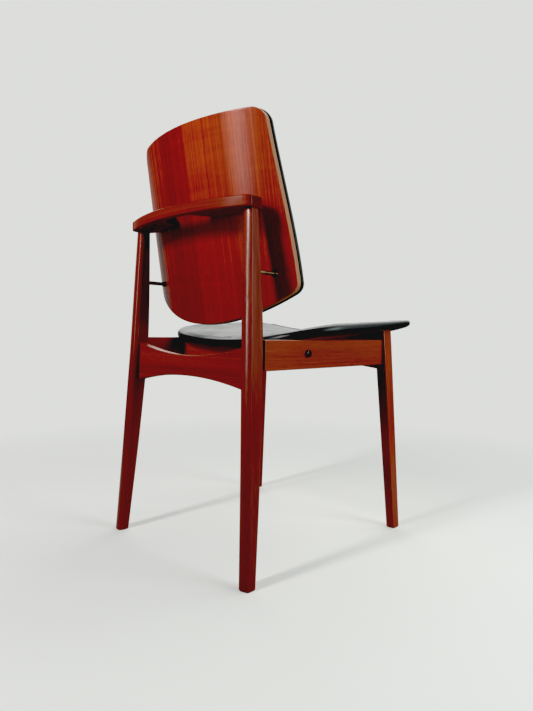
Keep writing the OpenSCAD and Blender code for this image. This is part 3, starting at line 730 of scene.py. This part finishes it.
def make_back_shell(veneer, edge):
    """The bent ply back: veneered faces and a layered edge with eased arrises."""
    rows = [(share, 0, 0) for share in FACE_SHARES]
    rows += [(1, PLY_EDGE_R, 0), (1, PLY_EDGE_R * 0.3, PLY_EDGE_R * 0.3), (1, 0, PLY_EDGE_R)]
    first_edge = len(rows) - 1
    rows += [(1, 0, BACK_PLY - PLY_EDGE_R), (1, PLY_EDGE_R * 0.3, BACK_PLY - PLY_EDGE_R * 0.3),
             (1, PLY_EDGE_R, BACK_PLY)]
    rows += [(share, 0, BACK_PLY) for share in reversed(FACE_SHARES)]
    piece = skin("back_shell_bent_ply", [back_ring(*row) for row in rows], [veneer, edge])
    count = len(back_outline(0))
    depths = piece.data.attributes.new("ply_depth", "FLOAT", "POINT")
    for i, row in enumerate(rows):
        for k in range(count):
            depths.data[i * count + k].value = row[2] / BACK_PLY
    for k in range(count * (first_edge - 1), count * (first_edge + 2)):
        piece.data.polygons[k].material_index = 1
    even_light(piece)
    return place_piece(piece, "back_veneer", "back_shell")


# The leather's edge above the board, the padding's crown and the foam's upper face
BACK_EDGE_H = 0.0074
BACK_CROWN = 0.009
BACK_PAD_TOP = 0.0036
# The cloth simulation that fills the covers out
PRESS_FRAMES = 20
CLOTH = {"quality": 6, "mass": 0.3, "tension_stiffness": 40, "compression_stiffness": 40,
         "bending_stiffness": 5.0, "use_pressure": True, "uniform_pressure_force": 3.0,
         "shrink_min": -0.002, "vertex_group_mass": "held"}
SWELL_LIMIT = 0.0035


def swell(piece, held):
    """Fills a soft piece out as stuffed cloth; the points named in held stay put."""
    mesh = piece.data
    start = [vertex.co.copy() for vertex in mesh.vertices]
    piece.vertex_groups.new(name="held").add(held, 1.0, "REPLACE")
    cloth = piece.modifiers.new("stuffing", "CLOTH")
    for key, value in CLOTH.items():
        setattr(cloth.settings, key, value)
    cloth.settings.effector_weights.gravity = 0
    cloth.point_cache.frame_start = 1
    cloth.point_cache.frame_end = PRESS_FRAMES
    for number in range(1, PRESS_FRAMES + 1):
        bpy.context.scene.frame_set(number)
    shaped = piece.evaluated_get(bpy.context.evaluated_depsgraph_get()).data
    moved = [vertex.co.copy() for vertex in shaped.vertices]
    piece.modifiers.remove(cloth)
    bpy.context.scene.frame_set(1)
    for vertex, before, after in zip(mesh.vertices, start, moved):
        step = after - before
        if step.length > SWELL_LIMIT:
            step = step.normalized() * SWELL_LIMIT
        vertex.co = before + step


def leather_skin(name, rings, material, first_held):
    """A cover whose rings before first_held swell, in leather with its real thickness."""
    piece = skin(name, rings, [material], closed=False)
    count = len(rings[0])
    close_centre(piece, count)
    recalc_outward(piece)
    swell(piece, list(range(first_held * count, len(piece.data.vertices))))
    shell = piece.modifiers.new("leather thickness", "SOLIDIFY")
    shell.thickness = COVER_T
    shell.offset = -1
    return piece


def back_pad_ring(share, inset, lift, crown):
    """A ring of the back's padding; lift is measured off the board's front face.

    Each row of rings below gives the four values, from the middle outward and round.
    """
    ring = []
    for x, z in back_outline(inset):
        at_x, at_z = x * share, BACK_MIDDLE_Z + (z - BACK_MIDDLE_Z) * share
        out = lift + BACK_CROWN * crown * (1 - share * share * (1 - inset / CROWN_FADE))
        ring.append((at_x, back_y(at_x, at_z, BACK_R - BACK_PLY) - out, at_z))
    return ring


def make_back_cover(material):
    """The back's leather: a crowned front drawn in at its edge and folded behind."""
    top = BACK_EDGE_H
    rows = [(share, 0, top, 1) for share in COVER_SHARES]
    rows += [(1, 0.018, top, 1), (1, 0.012, top, 1), (1, 0.007, top - 0.0003, 1),
             (1, 0.0030, top + 0.0006, 0.8), (1, 0.0006, top + 0.0002, 0.3)]
    first_held = len(rows) - 1
    rows += [(1, -0.0004, top - 0.0010, 0), (1, -0.0010, 0.0036, 0), (1, -0.0009, 0.0018, 0),
             (1, -0.0004, 0.0006, 0), (1, 0.0006, 0.0002, 0), (1, 0.012, 0.0002, 0)]
    piece = leather_skin("back_cover_padded", [back_pad_ring(*row) for row in rows], material,
                         first_held)
    return place_piece(piece, "black_leather", "back_cover")


def make_back_foam(material):
    """The foam slab between the back's board and its leather."""
    top = BACK_PAD_TOP
    rows = [(share, 0, top, 1) for share in COVER_SHARES]
    rows += [(1, 0.018, top, 1), (1, 0.010, top, 0.9), (1, 0.005, top, 0.6),
             (1, 0.003, top - 0.0012, 0.2), (1, 0.003, 0.0021, 0), (1, 0.012, 0.0019, 0)]
    rows += [(share, 0, 0.0019, 0) for share in (0.8, 0.5, 0.2, 0.02)]
    piece = skin("back_pad_foam", [back_pad_ring(*row) for row in rows], [material])
    return place_piece(piece, "foam", "back_pad")


# ---- Seat ----
# The outline from above: ends, half widths, corners and the bows of its edges
SEAT_FRONT_Y = -0.2484
SEAT_REAR_Y = 0.1186
SEAT_HALF = 0.2445
SEAT_REAR_HALF = 0.2293
SEAT_FRONT_R = 0.046
SEAT_REAR_R = 0.1095
SEAT_TILT_TRIM = 0.004
FRONT_BOW = 0.0116
REAR_BOW = 0.0053
SIDE_BOW = 0.0054
# The padding's middle and crown, and the leather's band and hem
SEAT_MIDDLE_Y = -0.070
SEAT_CROWN = 0.006
HEM_DROP = 0.0154
HEM_W = 0.026
BAND_ROUND = 0.0060
# The share by which the band deepens at the sides, and where along them
BAND_DEEP = 0.24
BAND_DEEP_Y = -0.070
BAND_DEEP_REACH = 0.11


def corner_arc(cx, cy, radius, a0, a1, count):
    """Points along an arc by its polar angle, in degrees."""
    return [(cx + radius * cos(radians(a)), cy + radius * sin(radians(a)))
            for a in steps(a0, a1, count)]


def bowed(x, y):
    """The seat's outline with its edges bowed outward."""
    t = (y - SEAT_FRONT_Y) / (SEAT_REAR_Y - SEAT_FRONT_Y)
    front = max(0, 1 - (x / SEAT_HALF) ** 2) * (1 - t) ** 4
    rear = max(0, 1 - (x / SEAT_REAR_HALF) ** 2) * t ** 4
    return (x * (1 + SIDE_BOW / SEAT_HALF * 4 * t * (1 - t)),
            y - FRONT_BOW * front + REAR_BOW * rear)


def seat_outline():
    """The seat's outline from above: four corner arcs joined by bowed edges."""
    tilt = atan2(SEAT_HALF - SEAT_REAR_HALF - SEAT_TILT_TRIM, SEAT_REAR_Y - SEAT_FRONT_Y) * 180 / pi
    front_arc = corner_arc(SEAT_HALF - SEAT_FRONT_R, SEAT_FRONT_Y + SEAT_FRONT_R, SEAT_FRONT_R,
                           -90, tilt, 14)
    rear_arc = corner_arc(SEAT_REAR_HALF - SEAT_REAR_R, SEAT_REAR_Y - SEAT_REAR_R, SEAT_REAR_R,
                          tilt, 90, 24)
    half = [(x, SEAT_FRONT_Y) for x in steps(0, SEAT_HALF - SEAT_FRONT_R, 20)[:-1]]
    half += front_arc
    half += [(front_arc[-1][0] + (rear_arc[0][0] - front_arc[-1][0]) * t,
              front_arc[-1][1] + (rear_arc[0][1] - front_arc[-1][1]) * t)
             for t in steps(0, 1, 26)[1:-1]]
    half += rear_arc
    half += [(x, SEAT_REAR_Y) for x in steps(SEAT_REAR_HALF - SEAT_REAR_R, 0, 12)[1:]]
    return [bowed(x, y) for x, y in mirrored(half)]


SEAT_OUTLINE = seat_outline()


def outward(i):
    """The outline's outward direction at its point i."""
    before = SEAT_OUTLINE[i - 1]
    after = SEAT_OUTLINE[(i + 1) % len(SEAT_OUTLINE)]
    run = hypot(after[0] - before[0], after[1] - before[1])
    return (after[1] - before[1]) / run, (before[0] - after[0]) / run


def seat_ring(share, inset, drop, crown):
    """A ring of the seat; drop is measured down from the rim's upper face."""
    ring = []
    for i, (x, y) in enumerate(SEAT_OUTLINE):
        out = outward(i)
        at_x = (x - out[0] * inset) * share
        at_y = SEAT_MIDDLE_Y + (y - out[1] * inset - SEAT_MIDDLE_Y) * share
        lift = SEAT_CROWN * crown * (1 - share * share * (1 - inset / CROWN_FADE))
        side = (at_x / SEAT_HALF) ** 2 * exp(-((at_y - BAND_DEEP_Y) / BAND_DEEP_REACH) ** 2)
        depth = drop * (BAND_DEEP * side + seat_share(at_y))
        ring.append((at_x, at_y, seat_z(at_x, at_y) - depth + lift))
    return ring


def make_seat_shell(material):
    """The dished ply seat board, seen from below."""
    top, low, rim = SEAT_BOARD_DROP, SEAT_UNDER_DROP, COVER_T + FIT_GAP
    ease = SEAT_PLY_EDGE_R
    shares = FACE_SHARES[:-2]
    rows = [(share, 0, top, 0) for share in shares]
    rows += [(1, 0.012, top, 0), (1, rim + ease, top, 0), (1, rim, top + ease, 0),
             (1, rim, low - ease, 0), (1, rim + ease, low, 0), (1, 0.012, low, 0)]
    rows += [(share, 0, low, 0) for share in reversed(shares)]
    piece = skin("seat_shell_bent_ply", [seat_ring(*row) for row in rows], [material])
    even_light(piece)
    return place_piece(piece, "back_veneer", "seat_shell")


def make_seat_cover(material):
    """The seat's leather: crowned top, upright band and a hem folded under the board."""
    rows = [(share, 0, 0, 1) for share in COVER_SHARES]
    rows += [(1, 0.020, 0, 1), (1, 0.014, 0, 1), (1, 0.010, 0.0002, 1)]
    first_held = len(rows)
    rows += [(1, BAND_ROUND * (1 - cos(a)), HEM_DROP * (1 - sin(a)) / 2, max(0, sin(a)))
             for a in steps(radians(80), radians(-90), 12)]
    rows += [(1, BAND_ROUND * 1.6, HEM_DROP, 0), (1, HEM_W, HEM_DROP - 0.0004, 0)]
    piece = leather_skin("seat_cover_padded", [seat_ring(*row) for row in rows], material,
                         first_held)
    return place_piece(piece, "black_leather", "seat_cover")


def make_seat_foam(material):
    """The foam slab between the seat's board and its leather."""
    top, low = COVER_T + 0.0004, SEAT_BOARD_DROP - 0.0002
    rows = [(share, 0, top, 0.9) for share in COVER_SHARES]
    rows += [(1, 0.020, top, 0.9), (1, 0.010, top + 0.0006, 0.8), (1, 0.005, top + 0.0014, 0.4),
             (1, 0.004, low - 0.0006, 0), (1, 0.005, low, 0)]
    rows += [(share, 0, low, 0) for share in (0.9, 0.8, 0.5, 0.2, 0.02)]
    piece = skin("seat_pad_foam", [seat_ring(*row) for row in rows], [material])
    return place_piece(piece, "foam", "seat_pad")


# ---- Top rail ----
# The plan's arc, ends and front; the front's line runs through the blank's point, as x and y
CREST_LOW, CREST_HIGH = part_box("crest_rail")
CREST_REAR_Y = CREST_HIGH.y
CREST_PLAN_R = 0.473
CREST_FRONT_Y = 0.186
CREST_END_R = 0.013
CREST_REAR_CORNER_R = 0.012
CREST_BLANK = (0.070, 0.150)
# The hand hole, from its flat depth out to its ends
GRIP_INNER_X = 0.036
GRIP_OUTER_X = 0.064
GRIP_END_Y = 0.200
GRIP_RAIL_DEPTH = 0.015
GRIP_LEAD = 0.002
CREST_EDGE_R = 0.0030
CREST_EDGE_ANGLE = 35
CREST_MEET_STEP = 0.0005


def crest_rear(x):
    """Depth of the top rail's rear edge."""
    return CREST_REAR_Y - CREST_PLAN_R + sqrt(CREST_PLAN_R ** 2 - x * x)


def crest_outline(z):
    """The top rail's plan at height z, where its front follows the back's rear face."""
    half_length = CREST_HIGH.x
    turn_x = half_length - CREST_REAR_CORNER_R
    half = [(x, crest_rear(x)) for x in steps(0, turn_x, 40)]
    half += [(turn_x + CREST_REAR_CORNER_R * sin(a),
              crest_rear(turn_x) - CREST_REAR_CORNER_R * (1 - cos(a)))
             for a in steps(0, pi / 2, 8)[1:]]
    half += [(half_length - CREST_END_R + CREST_END_R * cos(a),
              CREST_FRONT_Y + CREST_END_R + CREST_END_R * sin(a))
             for a in steps(0, -pi / 2, 8)]
    near_x, near_y = half_length - CREST_END_R, CREST_FRONT_Y
    slope = (near_y - CREST_BLANK[1]) / (near_x - CREST_BLANK[0])
    meet = near_x
    while near_y - slope * (near_x - meet) > back_y(meet, z, BACK_R + FIT_GAP):
        meet -= CREST_MEET_STEP
    half += [(x, back_y(x, z, BACK_R + FIT_GAP)) for x in steps(meet, GRIP_OUTER_X + GRIP_LEAD, 18)]
    deep = crest_rear(GRIP_INNER_X) - GRIP_RAIL_DEPTH
    for t in steps(1, 0, 14):
        half.append((GRIP_INNER_X + (GRIP_OUTER_X - GRIP_INNER_X) * t,
                     GRIP_END_Y + (deep - GRIP_END_Y) * (1 + cos(pi * t)) / 2))
    half += [(x, deep + (crest_rear(0) - GRIP_RAIL_DEPTH - deep) * (1 - (x / GRIP_INNER_X) ** 2))
             for x in steps(GRIP_INNER_X, 0, 6)[1:]]
    return mirrored(half)


def make_crest(material):
    """The curved top rail with its hand hole, its edges eased."""
    rings = [[(x, y, z) for x, y in crest_outline(z)]
             for z in steps(CREST_LOW.z, CREST_HIGH.z, 2)]
    piece = skin("crest_rail_shaped", rings, [material])
    soften(piece, CREST_EDGE_R, CREST_EDGE_ANGLE)
    return place_piece(piece, "frame_wood", "crest_rail")


# ---- Fittings ----
LATHE_SIDES = 48
ROD_TAPER = 0.0006
ROD_EASE = 0.0006
ROD_SHOULDER = 0.0008
# A cap's dome: how far below its crown, and how much narrower, each ring is
PLUG_DOME = ((0.0016, 0), (0.0009, 0.0003), (0.0004, 0.0010), (0.0001, 0.0022), (0, 0.0040))
PLUG_TIP_R = 0.0005


def lathe(name, profile, at, axis, materials):
    """A turned piece: a profile of (distance along, radius) spun about an axis."""
    rings = []
    for distance, radius in profile:
        ring = []
        for a in steps(0, 2 * pi, LATHE_SIDES)[:-1]:
            u, v = radius * cos(a), radius * sin(a)
            offset = (distance, u, v) if axis == "X" else (u, distance, v)
            ring.append(tuple(p + q for p, q in zip(at, offset)))
        rings.append(ring)
    return skin(name, rings, materials)


def make_back_rod(side, material):
    """A turned brass rod, slightly waisted towards the back."""
    low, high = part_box(f"back_rod_{side}")
    radius = (high.z - low.z) / 2
    centre = (low + high) / 2
    length = high.y - low.y
    profile = [(0, radius - ROD_SHOULDER), (ROD_EASE, radius - ROD_TAPER)]
    profile += [(length * t, radius - ROD_TAPER * (1 - t)) for t in steps(0.05, 0.95, 12)]
    profile += [(length - ROD_EASE, radius), (length, radius - ROD_EASE)]
    piece = lathe(f"back_rod_{side}_turned", profile, (centre.x, low.y, centre.z), "Y",
                  [material])
    even_light(piece)
    return place_piece(piece, "brass", f"back_rod_{side}")


def make_rail_plug(side, material):
    """A turned dark cap over the bearer bolt, domed on its face."""
    low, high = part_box(f"rail_plug_{side}")
    radius = (high.z - low.z) / 2
    length = high.x - low.x
    start = low.x if side == "left" else high.x
    profile = [(0, radius)] + [(length - down, radius - less) for down, less in PLUG_DOME]
    profile = [(SIDES[side] * distance, r) for distance, r in profile + [(length, PLUG_TIP_R)]]
    centre = (low + high) / 2
    piece = lathe(f"rail_plug_{side}_turned", profile, (start, centre.y, centre.z), "X",
                  [material])
    even_light(piece)
    return place_piece(piece, "dark_plug", f"rail_plug_{side}")


def give_material(material, *nodes):
    """Puts a material on CAD nodes that stay as they are."""
    for node in nodes:
        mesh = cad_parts[node].data
        mesh.materials.clear()
        mesh.materials.append(material)


# ---- Stage and light ----
# The background's colour, and the two crushes of the film's blacks
BACKGROUND = (0.730, 0.738, 0.722)
BLACK_LEVEL = 0.04
FILM_BLACK = 0.0052
# Near the chair, part of the floor's glow gives way to a white that takes shadows
FLOOR_HALF = 9.0
FLOOR_SHADED = 0.56
FLOOR_WHITE = 0.40
FLOOR_FADE = (0.55, 1.50)
# The floor's glow as the chair sees it, out to where it fades
PAPER_EDGE = (1.0, 1.8)
PAPER_BOUNCE = 0.45


def make_floor():
    """A pale floor that takes soft shadows and fades into the background."""
    n = Nodes(bpy.data.materials.new("pale_floor"))
    where = n.place((1, 1, 0))
    reach = n.add("ShaderNodeVectorMath", {0: where}, operation="LENGTH").outputs["Value"]
    near = n.remap(reach, *FLOOR_FADE, 1.0, 0.0)
    white = n.math("MULTIPLY", near, FLOOR_WHITE)
    camera_ray = n.add("ShaderNodeLightPath").outputs["Is Camera Ray"]
    lit = n.math("MAXIMUM", camera_ray, n.remap(reach, *PAPER_EDGE, PAPER_BOUNCE, 0.0))
    glow_strength = n.math("SUBTRACT", lit, n.math("MULTIPLY", near, FLOOR_SHADED))
    n.set(Base_Color=n.mix(white, (0, 0, 0), (1, 1, 0.98)), Roughness=0.9)
    n.set(Specular_IOR_Level=0.0)
    glow = n.add("ShaderNodeEmission", {"Color": (*BACKGROUND, 1), "Strength": glow_strength})
    both = n.add("ShaderNodeAddShader", {0: n.shader.outputs[0], 1: glow.outputs[0]})
    n.put(n.tree.nodes["Material Output"].inputs["Surface"], both.outputs[0])
    half = FLOOR_HALF
    floor = add_mesh("floor", [(-half, -half, 0), (half, -half, 0), (half, half, 0),
                               (-half, half, 0)], [(0, 1, 2, 3)], [n.owner])


# Pale surfaces around the room, seen only in reflections and as soft light: each one's
# direction, the cosines at which it starts and is full, and its level
SWEEPS = (((0.60, -0.58, 0.55), (0.84, 0.98), 2.75),
          ((-0.62, -0.78, 0.05), (0.30, 0.85), 0.30),
          ((0.93, -0.36, 0.08), (0.93, 0.99), 0.85),
          ((-0.15, -0.66, 0.73), (0.82, 0.98), 3.2),
          ((0.20, -0.95, 0.22), (0.90, 0.99), 2.0))
ROOM_LIGHT = 0.04


def make_world():
    """The background to the camera, and to all else a dark room with pale surfaces."""
    n = Nodes(bpy.data.worlds.new("studio"))
    n.tree.nodes.clear()
    where = n.add("ShaderNodeTexCoord").outputs["Generated"]
    strength = ROOM_LIGHT
    for towards, edge, level in SWEEPS:
        side = n.add("ShaderNodeVectorMath", {0: where, 1: towards}, operation="DOT_PRODUCT")
        glow = n.add("ShaderNodeMapRange", {
            "Value": side.outputs["Value"], "From Min": edge[0], "From Max": edge[1],
            "To Max": level}, interpolation_type="SMOOTHSTEP")
        strength = n.math("ADD", strength, glow.outputs["Result"])
    room = n.add("ShaderNodeBackground", {"Color": (*BACKGROUND, 1), "Strength": strength})
    seen = n.add("ShaderNodeBackground", {"Color": (*BACKGROUND, 1)})
    camera_ray = n.add("ShaderNodeLightPath").outputs["Is Camera Ray"]
    mix = n.add("ShaderNodeMixShader", {"Fac": camera_ray, 1: room.outputs[0],
                                        2: seen.outputs[0]})
    n.add("ShaderNodeOutputWorld", {"Surface": mix.outputs[0]})
    bpy.context.scene.world = n.owner


# Each light: where it is, what it looks at, its size, power, spread in degrees and colour
WHITE = (1, 1, 1)
COOL = (0.90, 1.0, 0.97)
LIGHTS = {
    "key": ((0.15, 2.20, 1.68), (0, 0.1, 0.60), (0.26, 0.50), 11.4, 100, WHITE),
    "low_strip": ((0.20, 2.20, 0.92), (0, 0.1, 0.80), (0.24, 0.85), 2.1, 90, WHITE),
    "side_light": ((-2.2, -0.60, 0.95), (0, 0, 0.45), (1.1, 1.1), 37, 180, COOL),
}


def make_light(name, at, aim, size, power, spread, colour):
    """A rectangular softbox that isn't seen itself."""
    data = bpy.data.lights.new(name, "AREA")
    data.shape = "RECTANGLE"
    data.size, data.size_y = size
    data.energy = power
    data.spread = radians(spread)
    data.color = colour
    light = bpy.data.objects.new(name, data)
    toward = Vector(aim) - Vector(at)
    light.matrix_world = (Matrix.Translation(at)
                          @ toward.to_track_quat("-Z", "Y").to_matrix().to_4x4())
    light.visible_camera = False
    bpy.context.scene.collection.objects.link(light)


def set_film():
    """A plain display with slightly crushed blacks."""
    settings = bpy.context.scene.view_settings
    settings.view_transform = "Standard"
    settings.look = "None"
    settings.exposure = 0
    settings.gamma = 1
    settings.use_curve_mapping = True
    settings.curve_mapping.black_level = (BLACK_LEVEL,) * 3
    settings.curve_mapping.extend = "HORIZONTAL"
    settings.curve_mapping.curves[3].points[0].location = (0, FILM_BLACK)
    settings.curve_mapping.update()


def build():
    """The whole chair and its stage."""
    make_camera()
    for i, side in enumerate(SIDES):
        # The legs' tone carries painted shade, darker towards the foot
        make_rear_leg(side, wood(f"leg_wood_{side}", "Z", 1.0 + i, tone=leg_tone_painted_shade))
        make_front_leg(side, wood(f"front_leg_wood_{side}", "Z", 3.0 + i, tone=leg_tone_painted_shade))
        make_side_rail(side, wood(f"side_rail_wood_{side}", "Y", 5.0 + i, pore_depth=0.5))
    make_cross_rails(wood("cross_rail_wood", "X", 7.0, shine=0.16))
    make_crest(wood("crest_wood", "X", 9.0, shine=0.10, depth=0.1))
    edge = ply_edge("ply_edge")
    # The back's veneer tone carries painted shade at its foot and a painted haze at its right edge
    veneer = wood("back_veneer", "Z", 11.0, RED_VENEER, 0.6, 0.20, 0.27, veneer_tone,
                  pore_depth=0.65, depth=0.0)
    make_back_shell(veneer, edge)
    pad_foam = foam("pad_foam")
    make_back_cover(leather("back_leather", 0.18))
    make_back_foam(pad_foam)
    make_seat_cover(leather("seat_leather", 0.46))
    make_seat_foam(pad_foam)
    make_seat_shell(wood("seat_board_veneer", "Y", 12.0, BOARD_VENEER))
    brass = metal("brass", (0.34, 0.25, 0.15), (0.10, 0.07, 0.045), 0.30, "Y")
    dark = wood("dark_cap_wood", "X", 13.0, CAP_WOOD)
    for side in SIDES:
        make_back_rod(side, brass)
        make_rail_plug(side, dark)
    give_material(brass, "back_rod_collars")
    give_material(metal("zinc_steel", (0.62, 0.63, 0.65), (0.38, 0.38, 0.39), 0.32),
                  "back_screws", "seat_screws", "bearer_bolts")
    give_material(plain_wood("beech", (0.62, 0.44, 0.25), (0.46, 0.29, 0.14), "Y"),
                  "bearer_dowels", "side_rail_dowels", "front_rail_dowels",
                  "stretcher_dowels", "crest_dowels")
    make_floor()
    make_world()
    for name, settings in LIGHTS.items():
        make_light(name, *settings)
    set_film()


build()
